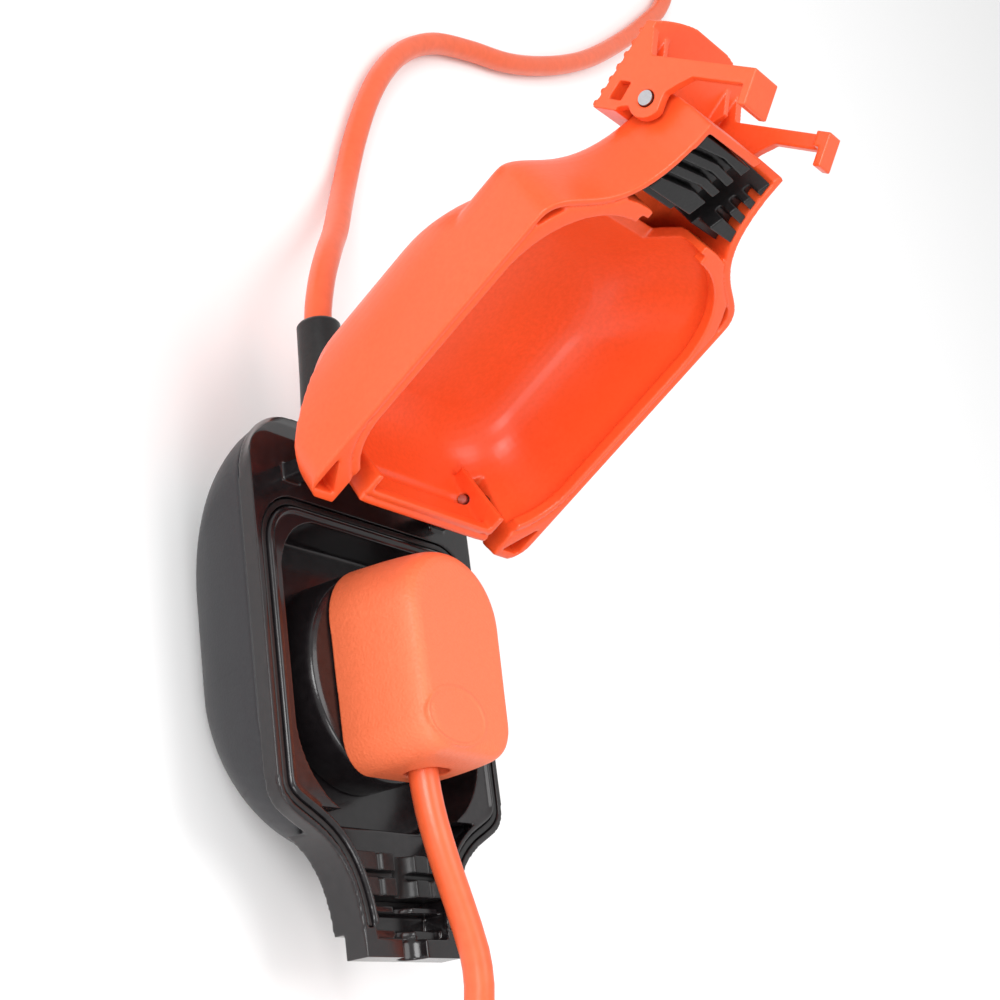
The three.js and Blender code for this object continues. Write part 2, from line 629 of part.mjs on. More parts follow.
function latchLever() {
  const arm = ARM.map(([y, z]) => new THREE.Vector2(LATCH_Y + y, LATCH_Z + z));
  let lever = sidePlate(arm, ARM_INNER, ARM_OUTER).add(sidePlate(arm, -ARM_OUTER, -ARM_INNER));
  const [backY, backZ] = PAD_BACK;
  const padFall = (PAD_TIP[1] - backZ) / (PAD_TIP[0] - backY);
  const pad = [PAD_BACK, PAD_TIP, [-20.6, 5.2], [backY, backZ - PAD_THICKNESS]];
  lever = lever.add(sidePlate(
    pad.map(([y, z]) => new THREE.Vector2(LATCH_Y + y, LATCH_Z + z)), -ARM_OUTER, ARM_OUTER,
  ));
  for (let i = 0; i < RIB_COUNT; i += 1) {
    const y = LATCH_Y + 3.2 - i * 4;
    const z = LATCH_Z + backZ + (y - LATCH_Y - backY) * padFall;
    lever = lever.add(bar('x', 1.1, -ARM_OUTER + 1, ARM_OUTER - 1, [y, z], 10));
  }
  const foot = LATCH_Z - LEG_LENGTH;
  for (const [x0, x1] of HOOKS) {
    lever = lever.add(box(x0, x1, -93.2, -88.6, foot, foot + HOOK_HEIGHT));
    lever = lever.add(box(x0, x1, -93.2, -83, foot, CATCH_Z - CATCH_PLAY));
  }
  return lever.subtract(bar('x', LATCH_BORE, -40, 40, [LATCH_Y, LATCH_Z]));
}

add('latch_lever', latchLever(), ORANGE_SHELL, latch);

// ---- Plug ----
// The plug's outline from its back: straight sides, round bottom corners and a domed top.
function plugOutline(draw) {
  const half = PLUG_HALF - draw;
  const bottom = PLUG_BOTTOM + draw;
  const top = PLUG_TOP - draw;
  const shoulder = top - 15;
  const corner = 11 - 0.5 * draw;
  const path = new THREE.Path();
  path.absarc(half - 1.2 - corner, bottom + corner, corner, -Math.PI / 2, 0, false);
  path.lineTo(half, shoulder);
  path.bezierCurveTo(half, shoulder + 8, half * 0.55, top, 0, top);
  path.bezierCurveTo(-half * 0.55, top, -half, shoulder + 8, -half, shoulder);
  path.absarc(corner - half + 1.2, bottom + corner, corner, Math.PI, 1.5 * Math.PI, false);
  return withoutRepeats(path.getPoints(5));
}

const PLUG_SIDE = [[0, 0], [13, 0.6], [20, 1.3], [25, 3], [27.8, 5.8], [PLUG_DEPTH, 9.5]];
const FUSE = { y: -14.5, radius: 3.15, length: 25.4 };
const PIN_ROOT = 3;

function plugBody() {
  const rings = PLUG_SIDE.map(([rise, draw]) => ({ points: plugOutline(draw), z: PLUG_BACK + rise }));
  let body = loft(rings);
  for (const slot of PIN_SLOTS) {
    body = body.subtract(slotBox(slot, GAP, PLUG_BACK - 1, PLUG_BACK + PIN_ROOT + GAP));
  }
  const half = FUSE.length / 2 + 0.6;
  body = body.subtract(
    box(-4.9, 4.9, FUSE.y - half, FUSE.y + half, PLUG_BACK - 1, PLUG_BACK + 8.8),
  );
  const { radius, depth } = PLUG_CORD_HOLE;
  return body.subtract(bar('y', radius, PLUG_BOTTOM - 2, PLUG_BOTTOM + depth, [0, PLUG_CORD_Z], 20));
}

add('plug_body', plugBody(), ORANGE_PLUG);

const SLEEVE_LENGTH = 9.5;
const SLEEVE_WALL = 0.55;
for (const [i, name] of ['neutral', 'live', 'earth'].entries()) {
  const slot = PIN_SLOTS[i];
  const tip = PLUG_BACK - slot.pin.length;
  let pin = slotBox(slot, 0, tip, PLUG_BACK + PIN_ROOT);
  if (slot.pin === LINE_PIN) {
    const neckTop = PLUG_BACK - GAP;
    const ring = slotBox(slot, 1, neckTop - SLEEVE_LENGTH, neckTop)
      .subtract(slotBox(slot, -SLEEVE_WALL - GAP, 0, 60));
    pin = pin.subtract(ring);
    const sleeveTube = slotBox(slot, 0, neckTop - SLEEVE_LENGTH + GAP, neckTop - GAP)
      .subtract(slotBox(slot, -SLEEVE_WALL, 0, 60));
    add(`${name}_pin_sleeve`, sleeveTube, BLACK_RUBBER);
  }
  add(`${name}_pin`, pin, BRASS);
}

const fuseFrom = FUSE.y - FUSE.length / 2;
const fuseTo = FUSE.y + FUSE.length / 2;
add('fuse', bar('y', FUSE.radius, fuseFrom, fuseTo, [0, PLUG_BACK + 5.4], 16), CERAMIC);
add(
  'fuse_carrier',
  box(-4.6, 4.6, fuseFrom - GAP, fuseTo + GAP, PLUG_BACK, PLUG_BACK + 1.9),
  ORANGE_PLUG,
);

// ---- Flex: out of the strain relief, a coil held by a tie, and back over the neck to the plug ----
const COIL = { x: -40, y: 326, inner: 39.3, outer: 66.8, bottom: 1.3, top: 28.2 };
const FLOOR = CORD_RADIUS + 0.3;
const SUPPLY_ROUTE = [
  [0, 60, SLEEVE_Z], [0, 88, SLEEVE_Z], [0, 113, SLEEVE_Z], [5, 128, 25.5], [15, 144, 22],
  [28, 160, 16.5], [40, 176, 10.5], [51, 193, 6], [61, 214, FLOOR], [71, 234, FLOOR],
  [84, 254, FLOOR], [101, 272, FLOOR], [124, 287, FLOOR], [150, 296, FLOOR], [180, 304, FLOOR],
  [214, 318, FLOOR], [254, 340, FLOOR], [297, 371, FLOOR], [334, 402, FLOOR], [349, 416, FLOOR],
  [360, 432, FLOOR], [363, 450, FLOOR], [358, 467, FLOOR], [346, 480, FLOOR], [330, 486, FLOOR],
  [312, 485, FLOOR], [260, 470, FLOOR], [180, 447, FLOOR], [100, 424, FLOOR],
  [30, 407, FLOOR], [-15, 400, FLOOR], [-52, 397, FLOOR + 0.6],
];
const RETURN_ROUTE = [
  [-112, 322, FLOOR + 0.6], [-112, 288, FLOOR], [-117, 245, FLOOR], [-123, 200, FLOOR],
  [-125, 150, FLOOR], [-126, 90, FLOOR], [-127, 30, FLOOR], [-129, -30, FLOOR],
  [-129, -80, FLOOR], [-124, -109, FLOOR], [-113, -131, FLOOR], [-97, -148, FLOOR],
  [-76, -159, FLOOR], [-55, -163, FLOOR], [-41, -163, 5.8], [-27, -161, 10],
  [-13, -155, 16.5], [-2, -147, 24.5], [7, -135, 33], [12.5, -122, 40],
  [14.2, -108, 45.6], [14.2, -97, 48], [13.1, -88, 48.5], [10.9, -81, 48.5],
  [8.25, -74, 48.5], [5.25, -66, 48.4], [2.6, -57, 48.1], [0.8, -48, 47.7],
  [0, -39, PLUG_CORD_Z], [0, PLUG_BOTTOM + PLUG_CORD_HOLE.depth - GAP, PLUG_CORD_Z],
];

add('supply_flex', tube(SUPPLY_ROUTE, CORD_RADIUS, 10, 60, 0.5), ORANGE_FLEX);
add('plug_flex', tube(RETURN_ROUTE, CORD_RADIUS, 10, 58, 0.5), ORANGE_FLEX);

function flexCoil() {
  const { inner, outer, bottom, top } = COIL;
  const bevel = 3.4;
  const section = [
    [inner + bevel, bottom], [outer - bevel, bottom], [outer, bottom + bevel], [outer, top - bevel],
    [outer - bevel, top], [inner + bevel, top], [inner, top - bevel], [inner, bottom + bevel],
    [inner + bevel, bottom],
  ].map(([radius, z]) => new THREE.Vector2(radius, z));
  const geometry = new THREE.LatheGeometry(section, 40);
  geometry.rotateX(Math.PI / 2);
  geometry.translate(COIL.x, COIL.y, 0);
  return solid(geometry);
}

add('flex_coil', flexCoil(), ORANGE_FLEX);

// The tie is a strap right round the coil's turns on the side nearest the box.
function coilTie() {
  const { x, y, inner, outer, bottom, top } = COIL;
  const clear = GAP + 0.1;
  const strap = 0.9;
  const far = y - inner + clear + 1;
  const near = y - outer - clear;
  const band = box(
    x - 5, x + 5, near - strap, far + strap, bottom - clear - strap, top + clear + strap,
  );
  return band.subtract(box(x - 20, x + 20, near, far, bottom - clear, top + clear));
}

add('coil_tie', coilTie(), BLACK_RUBBER);

export default lead;
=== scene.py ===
import json
import math

import bpy
import numpy as np
from mathutils import Matrix, Vector


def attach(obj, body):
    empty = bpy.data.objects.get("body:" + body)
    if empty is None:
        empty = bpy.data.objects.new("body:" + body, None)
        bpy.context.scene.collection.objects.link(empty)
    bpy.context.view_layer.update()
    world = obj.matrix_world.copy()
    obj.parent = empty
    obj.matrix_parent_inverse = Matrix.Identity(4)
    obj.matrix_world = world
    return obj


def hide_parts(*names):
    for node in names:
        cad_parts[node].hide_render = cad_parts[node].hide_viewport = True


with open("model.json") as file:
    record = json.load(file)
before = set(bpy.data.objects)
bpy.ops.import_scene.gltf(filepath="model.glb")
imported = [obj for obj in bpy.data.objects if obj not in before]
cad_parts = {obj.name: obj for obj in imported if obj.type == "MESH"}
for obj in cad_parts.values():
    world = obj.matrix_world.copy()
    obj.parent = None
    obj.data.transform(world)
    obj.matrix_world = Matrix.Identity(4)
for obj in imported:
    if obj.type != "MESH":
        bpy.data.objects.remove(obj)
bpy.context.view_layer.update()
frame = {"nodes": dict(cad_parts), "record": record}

# The box lies on its back with the lid open. Lengths in the shape code are in millimetres, and
# each finished piece is scaled to metres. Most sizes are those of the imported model. Some shapes
# are more detailed here, such as the lid's corners, the latch's pad and the plug's edges.
MM = 0.001

# ---- Driving dimensions, in millimetres ----
HALF_WIDTH = 52.0
NECK_END = -88.0
# Each outline's hinge end in y and its corner radius there.
LID_END = (54.0, 26.0)
BASE_END = (69.0, 24.0)
FACE_END = (60.0, 8.0)
SEAL_END = (43.5, 18.0)
SHOULDER_Y = -41.0
NECK_HALF = 21.5
FLANGE_Z = 38.0
SEAM_Z = 33.0
GAP = 0.3
WALL = 2.4
COVER_BOTTOM = -60.0
NECK_ROOT = -54.5
NECK_BOTTOM = 27
# The ledge at the neck's end that the latch's hooks reach under: its root in y and underside in z.
CATCH = {"y": -81, "z": 30.5}
RIM_Z = FLANGE_Z + 0.8
ROOF_Z = FLANGE_Z + 40.0
NECK_ROOF_Z = FLANGE_Z + 28.0
CAVITY_FLOOR = 22.0
TROUGH_FLOOR = 29.4
# Ends for cuts and trims that go right through: to each side of the box, beyond the neck's end,
# and above the base and the lid's rim.
REACH = 60.0
PAST_NECK = -100.0
HIGH = 60.0

HINGE = (50.0, FLANGE_Z + 16.0)
HINGE_BORE = 1.9
LID_OPEN = math.radians(120)
LATCH = (-81.0, FLANGE_Z + 20.0)
LATCH_BORE = 2.5
LATCH_OPEN = math.radians(28)
ARM_INNER = 23.0
ARM_OUTER = 26.0

SOCKET_Y = -7.0
# Each pin's middle and half-sizes.
PINS = [(-11.1, -18.5, 3.175, 2), (11.1, -18.5, 3.175, 2), (0, 3.7, 2, 4)]
PLUG_BACK = 37.3
PLUG_HALF = 23.3
PLUG_TOP = 25.5
PLUG_BOTTOM = -38.0
PLUG_CORD_Z = PLUG_BACK + 10.2
PLUG_DEPTH = 29
PLUG_CORD_HOLE = {"radius": 5.6, "depth": 7}

CORD_RADIUS = 4.4
SLEEVE_Z = 26.6
SLEEVE_START = 51.0
SLEEVE_END = 112.0
# The radii of the two holes for the sleeve, and the recess in the housing for its flange.
SLEEVE_HOLE = {"cover": 7.4, "housing": 7.35}
FLANGE_RECESS = {"radius": 9.1, "depth": 5.2}

# ---- Camera ----
camera_data = bpy.data.cameras.new("camera")
camera_data.sensor_width = 36
camera_data.lens = 66.2
camera = bpy.data.objects.new("camera", camera_data)
bpy.context.scene.collection.objects.link(camera)
VIEW_FROM = Vector((-0.4206, -0.1439, 0.3521))
VIEW_ALONG = Vector((0.7956, 0.3358, -0.5043)).normalized()
VIEW_UP = Vector((-0.2088, 0.9334, 0.2920))


def aimed(place, along, up):
    """The matrix of a camera or lamp at a place, looking along a direction."""
    back = -along.normalized()
    right = up.cross(back).normalized()
    matrix = Matrix((right, back.cross(right), back)).transposed().to_4x4()
    matrix.translation = place
    return matrix


camera.matrix_world = aimed(VIEW_FROM, VIEW_ALONG, VIEW_UP)
bpy.context.scene.camera = camera
bpy.context.scene.view_settings.view_transform = "Standard"


# ---- Materials ----
class Nodes:
    """A material's nodes, added and linked one at a time."""

    def __init__(self, name):
        self.material = bpy.data.materials.new(name)
        self.material.use_nodes = True
        self.tree = self.material.node_tree
        self.shader = self.tree.nodes["Principled BSDF"]

    def add(self, kind, inputs=(), **settings):
        node = self.tree.nodes.new(kind)
        for key, value in settings.items():
            setattr(node, key, value)
        for key, value in dict(inputs).items():
            self.set(node.inputs[key], value)
        return node

    def set(self, socket, value):
        if isinstance(value, bpy.types.NodeSocket):
            self.tree.links.new(value, socket)
        else:
            socket.default_value = value

    def noise(self, coordinates, scale, detail=3.0, distortion=0.0):
        inputs = {"Vector": coordinates, "Scale": scale, "Detail": detail, "Distortion": distortion}
        return self.add("ShaderNodeTexNoise", inputs).outputs["Fac"]

    def ranged(self, value, low, high, source=(0.3, 0.7)):
        inputs = {
            "Value": value, "From Min": source[0], "From Max": source[1], "To Min": low, "To Max": high,
        }
        return self.add("ShaderNodeMapRange", inputs).outputs["Result"]


def surface(name, color, roughness, grain, depth, mottle=0.05, uneven=0.06, scratch=0.05,
            metallic=0.0, specular=0.5, coat=0.0, cells=False):
    """A procedural finish: mottled colour, uneven gloss with fine scratches, and a grain in relief.
    Grain is in cells or grains for each metre, and depth is in metres."""
    nodes = Nodes(name)
    place = nodes.add("ShaderNodeTexCoord").outputs["Object"]
    shader = nodes.shader
    dark = tuple(c * (1 - mottle) for c in color) + (1.0,)
    light = tuple(min(1.0, c * (1 + mottle) + 0.004) for c in color) + (1.0,)
    cloud = nodes.ranged(nodes.noise(place, 22.0, 4.0), 0.0, 1.0)
    speck = nodes.ranged(nodes.noise(place, grain * 0.6, 2.0), 0.0, 1.0)
    blotch = nodes.add("ShaderNodeMath", {0: cloud, 1: speck}, operation="MULTIPLY_ADD")
    nodes.set(blotch.inputs[1], 0.7)
    fleck = nodes.add("ShaderNodeMath", {0: speck, 1: 0.3}, operation="MULTIPLY")
    nodes.set(blotch.inputs[2], fleck.outputs[0])
    mix = nodes.add("ShaderNodeMix", data_type="RGBA")
    nodes.set(mix.inputs["Factor"], blotch.outputs[0])
    nodes.set(mix.inputs["A"], dark)
    nodes.set(mix.inputs["B"], light)
    nodes.set(shader.inputs["Base Color"], mix.outputs["Result"])
    stretched = nodes.add("ShaderNodeMapping", {"Vector": place, "Scale": (60.0, 900.0, 60.0)})
    nodes.set(stretched.inputs["Rotation"], (0.3, 0.2, 0.6))
    lines = nodes.ranged(nodes.noise(stretched.outputs[0], 1.0, 2.0), 0.0, scratch, (0.62, 0.75))
    smear = nodes.ranged(nodes.noise(place, 45.0, 5.0), roughness - uneven, roughness + uneven)
    total = nodes.add("ShaderNodeMath", {0: smear, 1: lines}, operation="ADD", use_clamp=True)
    nodes.set(shader.inputs["Roughness"], total.outputs[0])
    if cells:
        bent = nodes.add("ShaderNodeVectorMath", {0: place}, operation="ADD")
        wander = nodes.add("ShaderNodeTexNoise", {"Vector": place, "Scale": grain * 0.5})
        shift = nodes.add("ShaderNodeVectorMath", {0: wander.outputs["Color"]}, operation="SCALE")
        nodes.set(shift.inputs["Scale"], 0.6 / grain)
        nodes.set(bent.inputs[1], shift.outputs[0])
        cell = nodes.add("ShaderNodeTexVoronoi", {"Vector": bent.outputs[0], "Scale": grain})
        cell.feature = "SMOOTH_F1"
        nodes.set(cell.inputs["Smoothness"], 0.4)
        height = cell.outputs["Distance"]
    else:
        height = nodes.noise(place, grain, 4.0)
    bump = nodes.add("ShaderNodeBump", {"Height": height, "Distance": depth, "Strength": 0.8})
    nodes.set(shader.inputs["Normal"], bump.outputs["Normal"])
    shader.inputs["Metallic"].default_value = metallic
    shader.inputs["Specular IOR Level"].default_value = specular
    shader.inputs["Coat Weight"].default_value = coat
    shader.inputs["Coat Roughness"].default_value = 0.15
    return nodes.material


LOOKS = {
    "black_shell": surface(
        "black_shell", (0.016, 0.016, 0.019), 0.42, 1400, 0.00006, uneven=0.04, specular=0.38,
    ),
    "black_gloss": surface("black_gloss", (0.010, 0.008, 0.009), 0.2, 700, 0.00001, 0.2, 0.04, 0.05),
    "black_rubber": surface(
        "black_rubber", (0.007, 0.0065, 0.007), 0.38, 1100, 0.00004, 0.2, 0.06, specular=0.42,
    ),
    "orange_shell": surface("orange_shell", (0.82, 0.088, 0.018), 0.34, 1300, 0.00003, 0.05, 0.05),
    "orange_plug": surface("orange_plug", (0.84, 0.165, 0.062), 0.5, 1150, 0.00012, 0.04, cells=True),
    "orange_flex": surface("orange_flex", (0.82, 0.12, 0.036), 0.36, 500, 0.00004, 0.05),
    "brass": surface("brass", (0.72, 0.5, 0.18), 0.24, 1500, 0.00001, 0.08, metallic=1.0),
    "steel": surface("steel", (0.45, 0.45, 0.47), 0.3, 1500, 0.00002, 0.08, metallic=1.0),
    "white_plastic": surface("white_plastic", (0.7, 0.67, 0.6), 0.45, 900, 0.00002),
    "ceramic": surface("ceramic", (0.8, 0.78, 0.72), 0.3, 700, 0.00002),
    "brown_core": surface("brown_core", (0.14, 0.045, 0.018), 0.4, 900, 0.00003),
    "blue_core": surface("blue_core", (0.02, 0.09, 0.4), 0.4, 900, 0.00003),
    "green_core": surface("green_core", (0.15, 0.32, 0.02), 0.4, 900, 0.00003),
}

for entry in frame["record"]["subparts"]:
    for slot in frame["nodes"][entry["node"]].material_slots:
        slot.material = LOOKS[entry["material_slot"]]


# ---- Cord: supply end, coil and plug end ----
def millimetres(points):
    return [Vector(p) * MM for p in points]


def smooth_route(points, spacing):
    """Points along a centripetal Catmull-Rom curve through the given ones, about a spacing apart."""
    knots = [2 * points[0] - points[1], *points, 2 * points[-1] - points[-2]]
    route = [points[0]]
    for a, b, c, d in zip(knots, knots[1:], knots[2:], knots[3:]):
        ta, tb, tc = ((q - p).length ** 0.5 for p, q in ((a, b), (b, c), (c, d)))
        out = (b - a) / ta - (c - a) / (ta + tb) + (c - b) / tb
        into = (c - b) / tb - (d - b) / (tb + tc) + (d - c) / tc
        out, into = out * tb, into * tb
        count = max(1, round((c - b).length / spacing))
        for i in range(1, count + 1):
            t = i / count
            route.append(
                b * (2 * t**3 - 3 * t**2 + 1) + out * (t**3 - 2 * t**2 + t)
                + c * (3 * t**2 - 2 * t**3) + into * (t**3 - t**2)
            )
    return route


FLOOR = CORD_RADIUS + 0.3
SUPPLY_ROUTE = millimetres([
    (0, 92, SLEEVE_Z), (0, 102, SLEEVE_Z), (0, 113, SLEEVE_Z), (5, 128, 25.5), (15, 144, 22),
    (28, 160, 16.5), (40, 176, 10.5), (51, 193, 6), (61, 214, FLOOR), (71, 234, FLOOR),
    (84, 254, FLOOR), (101, 272, FLOOR), (124, 287, FLOOR), (150, 296, FLOOR), (180, 304, FLOOR),
    (214, 318, FLOOR), (254, 340, FLOOR), (297, 371, FLOOR), (334, 402, FLOOR), (349, 416, FLOOR),
    (360, 432, FLOOR), (363, 450, FLOOR), (358, 467, FLOOR), (346, 480, FLOOR), (330, 486, FLOOR),
    (312, 485, FLOOR), (260, 470, FLOOR), (180, 447, FLOOR), (100, 424, FLOOR),
    (30, 407, FLOOR), (-15, 400, FLOOR), (-52, 397, FLOOR + 0.6),
])
RETURN_ROUTE = millimetres([
    (-112, 322, FLOOR + 0.6), (-112, 288, FLOOR), (-117, 245, FLOOR), (-123, 200, FLOOR),
    (-125, 150, FLOOR), (-126, 90, FLOOR), (-127, 30, FLOOR), (-129, -30, FLOOR),
    (-129, -80, FLOOR), (-124, -109, FLOOR), (-113, -131, FLOOR), (-97, -148, FLOOR),
    (-76, -159, FLOOR), (-55, -163, FLOOR), (-41, -163, 5.8), (-27, -161, 10),
    (-13, -155, 16.5), (-2, -147, 24.5), (7, -135, 33), (12.5, -122, 40),
    (14.2, -108, 45.6), (14.2, -97, 48), (13.1, -88, 48.5), (10.9, -81, 48.5),
    (8.25, -74, 48.5), (5.25, -66, 48.4), (2.6, -57, 48.1), (0.8, -48, 47.7),
    (0, -39, PLUG_CORD_Z),
    (0, PLUG_BOTTOM + PLUG_CORD_HOLE["depth"] - GAP, PLUG_CORD_Z),
])

COIL_CENTRE = Vector((-40, 326, 0)) * MM
COIL_STEP = 8.95
COIL_INNER_TURN = 44.1
COIL_LOWEST_TURN = 5.9
# The place of each turn in the coil's section: column out from the middle, row up from the floor.
COIL_CELLS = [(2, 0), (1, 0), (0, 0), (0, 1), (0, 2), (1, 2), (1, 1), (2, 1), (2, 2)]
STEPS_A_TURN = 60
# All in degrees round the coil. The cord comes in to its first turn over COIL_ENTRY, and steps to
# each next cell over COIL_STEP_OVER. It leaves at the exit's start after the last full turn, and
# rolls over the coil's edge. From the sink after that start it settles to the height of its end.
COIL_ENTRY = 60
COIL_STEP_OVER = 70
COIL_EXIT = {"start": 25, "roll": 95, "sink": 85}


def eased(t):
    t = min(1.0, max(0.0, t))
    return t * t * (3 - 2 * t)


def coil_route(start, end):
    """The turns from one point beside the coil to the other, each turn in its own cell."""
    cells = [
        np.array((COIL_INNER_TURN + COIL_STEP * column, COIL_LOWEST_TURN + COIL_STEP * row)) * MM
        for column, row in COIL_CELLS
    ]
    entry = start - COIL_CENTRE
    leave = end - COIL_CENTRE
    before = np.array((entry.xy.length, entry.z))
    after = np.array((leave.xy.length, leave.z))
    full = 360 * len(cells)
    first = math.degrees(math.atan2(entry.y, entry.x))
    last = math.degrees(math.atan2(leave.y, leave.x)) % 360 + full
    count = round((last - first) / 360 * STEPS_A_TURN)
    route = []
    for i in range(1, count):
        angle = first + (last - first) * i / count
        turn = min(len(cells) - 1, int(angle // 360))
        place = cells[turn]
        if turn > 0:
            share = eased(angle % 360 / COIL_STEP_OVER if angle < full else 1)
            place = cells[turn - 1] + (place - cells[turn - 1]) * share
        if angle < first + COIL_ENTRY:
            place = place + (before - place) * (1 - eased((angle - first) / COIL_ENTRY))
        over = angle - full - COIL_EXIT["start"]
        if over > 0:
            roll = math.radians(90 * eased(over / COIL_EXIT["roll"]))
            reach = after[0] - cells[-1][0]
            fall = cells[-1][1] - reach
            place = np.array((cells[-1][0] + reach * math.sin(roll), fall + reach * math.cos(roll)))
            sink = COIL_EXIT["sink"]
            down = eased((over - sink) / (last - full - COIL_EXIT["start"] - sink))
            place[1] += (after[1] - place[1]) * down
        radians = math.radians(angle)
        x, y = place[0] * math.cos(radians), place[0] * math.sin(radians)
        route.append(COIL_CENTRE + Vector((x, y, place[1])))
    return route


def cord_curve(name, route, radius):
    curve = bpy.data.curves.new(name, "CURVE")
    curve.dimensions = "3D"
    curve.bevel_depth = radius
    curve.bevel_resolution = 6
    curve.use_fill_caps = True
    spline = curve.splines.new("POLY")
    spline.points.add(len(route) - 1)
    for point, place in zip(spline.points, route):
        point.co = (*place, 1.0)
    spline.use_smooth = True
    piece = bpy.data.objects.new(name, curve)
    bpy.context.scene.collection.objects.link(piece)
    return piece


ROUTE_SPACING = 5 * MM
supply = smooth_route(SUPPLY_ROUTE, ROUTE_SPACING)
back = smooth_route(RETURN_ROUTE, ROUTE_SPACING)
flex = cord_curve("flex", supply + coil_route(supply[-1], back[0]) + back, CORD_RADIUS * MM)
flex.data.materials.append(LOOKS["orange_flex"])
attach(flex, "box")
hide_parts("supply_flex", "plug_flex", "flex_coil")


# ---- Solids ----
def new_piece(name, vertices, faces):
    mesh = bpy.data.meshes.new(name)
    mesh.from_pydata([tuple(v) for v in vertices], [], faces)
    mesh.update()
    piece = bpy.data.objects.new(name, mesh)
    bpy.context.scene.collection.objects.link(piece)
    return piece


def loft(rings):
    """A solid skinned over (points, z) rings with equal numbers of points, from the lowest up."""
    count = len(rings[0][0])
    vertices = [(x, y, z) for points, z in rings for x, y in points]
    faces = []
    for level in range(len(rings) - 1):
        for i in range(count):
            a = level * count + i
            b = level * count + (i + 1) % count
            faces.append((a, b, b + count, a + count))
    faces.append(tuple(range(count))[::-1])
    top = (len(rings) - 1) * count
    faces.append(tuple(range(top, top + count)))
    return new_piece("part", vertices, faces)


def prism(points, z0, z1):
    return loft([(points, z0), (points, z1)])


def box(x0, x1, y0, y1, z0, z1):
    return prism([(x0, y0), (x1, y0), (x1, y1), (x0, y1)], z0, z1)


def oval(x, y, half_width, half_height, sides):
    turn = [2 * math.pi * i / sides for i in range(sides)]
    return [(x + half_width * math.cos(a), y + half_height * math.sin(a)) for a in turn]


def circle(radius, y, sides):
    return oval(0, y, radius, radius, sides)


def laid(piece, axis, a=0, b=0):
    """Lays a piece drawn up z along x, y or z, at the two other coordinates in the order x, y, z."""
    if axis == "x":
        matrix = Matrix(((0, 0, 1, 0), (1, 0, 0, a), (0, 1, 0, b), (0, 0, 0, 1)))
    elif axis == "y":
        matrix = Matrix(((0, 1, 0, a), (0, 0, 1, 0), (1, 0, 0, b), (0, 0, 0, 1)))
    else:
        matrix = Matrix.Translation((a, b, 0))
    piece.data.transform(matrix)
    return piece


def bar(axis, radius, start, end, centre, sides=40):
    """A round bar along x, y or z, with its middle at the two other coordinates."""
    return laid(prism(circle(radius, 0, sides), start, end), axis, *centre)


def side_plate(points, x0, x1):
    """A plate whose anticlockwise outline is in (y, z)."""
    return laid(prism(points, x0, x1), "x")


def pin_room(pin, play, z0, z1):
    x, y, half_x, half_y = pin
    return box(x - half_x - play, x + half_x + play, y - half_y - play, y + half_y + play, z0, z1)


def applied(piece):
    """Bakes a piece's modifiers into its mesh."""
    depsgraph = bpy.context.evaluated_depsgraph_get()
    mesh = bpy.data.meshes.new_from_object(piece.evaluated_get(depsgraph))
    piece.modifiers.clear()
    piece.data = mesh
    return piece


def combined(piece, tool, operation):
    modifier = piece.modifiers.new("combine", "BOOLEAN")
    modifier.operation = operation
    modifier.solver = "MANIFOLD"
    modifier.object = tool
    applied(piece)
    bpy.data.objects.remove(tool)
    return piece


def joined(piece, *tools):
    for tool in tools:
        piece = combined(piece, tool, "UNION")
    return piece


def cut(piece, *tools):
    for tool in tools:
        piece = combined(piece, tool, "DIFFERENCE")
    return piece


def common(piece, tool):
    return combined(piece, tool, "INTERSECT")


def softened(piece, voxel, rounds):
    """Rounds every edge a little: a fine remesh, then smoothing."""
    remesh = piece.modifiers.new("remesh", "REMESH")
    remesh.mode = "VOXEL"
    remesh.voxel_size = voxel
    smooth = piece.modifiers.new("smooth", "SMOOTH")
    smooth.factor = 0.5
    smooth.iterations = rounds
    return applied(piece)


def turned(piece, pivot, angle):
    """Turns a piece drawn closed about an axis along X through a (y, z) pivot."""
    y, z = pivot
    from_pivot = Matrix.Translation((0, -y, -z))
    to_pivot = Matrix.Translation((0, y, z))
    piece.data.transform(to_pivot @ Matrix.Rotation(angle, 4, "X") @ from_pivot)
    return piece


def finished(piece, name, body, look, *replaced):
    """Scales a piece to metres, names and paints it, and puts it on its body."""
    if body == "latch":
        turned(piece, LATCH, -LATCH_OPEN)
    if body in ("lid", "latch"):
        turned(piece, HINGE, -LID_OPEN)
    piece.data.transform(Matrix.Scale(MM, 4))
    piece.data.shade_smooth()
    piece.name = name
    piece.data.name = name
    piece.data.materials.clear()
    piece.data.materials.append(LOOKS[look])
    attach(piece, body)
    if replaced:
        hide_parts(*replaced)
    return piece


# ---- Outlines ----
def arc(x, y, radius, start, end, steps=14):
    turn = [math.radians(start + (end - start) * i / steps) for i in range(steps + 1)]
    return [(x + radius * math.cos(a), y + radius * math.sin(a)) for a in turn]


def bezier(a, b, c, d, steps=24):
    points = []
    for i in range(steps + 1):
        t = i / steps
        s = 1 - t
        weights = (s**3, 3 * s * s * t, 3 * s * t * t, t**3)
        points.append(tuple(sum(w * p[k] for w, p in zip(weights, (a, b, c, d))) for k in (0, 1)))
    return points


def without_repeats(points):
    return [p for i, p in enumerate(points) if math.dist(p, points[i - 1]) > 1e-3]


def box_outline(end):
    """Two S-shaped shoulders draw the wide body in to the neck. Anticlockwise."""
    top, corner = end
    shoulder = bezier(
        (NECK_HALF, NECK_END), (NECK_HALF, NECK_END + 42), (HALF_WIDTH, SHOULDER_Y - 17),
        (HALF_WIDTH, SHOULDER_Y),
    )
    half = shoulder + arc(HALF_WIDTH - corner, top - corner, corner, 0, 90)
    return without_repeats(half + [(-x, y) for x, y in reversed(half)])


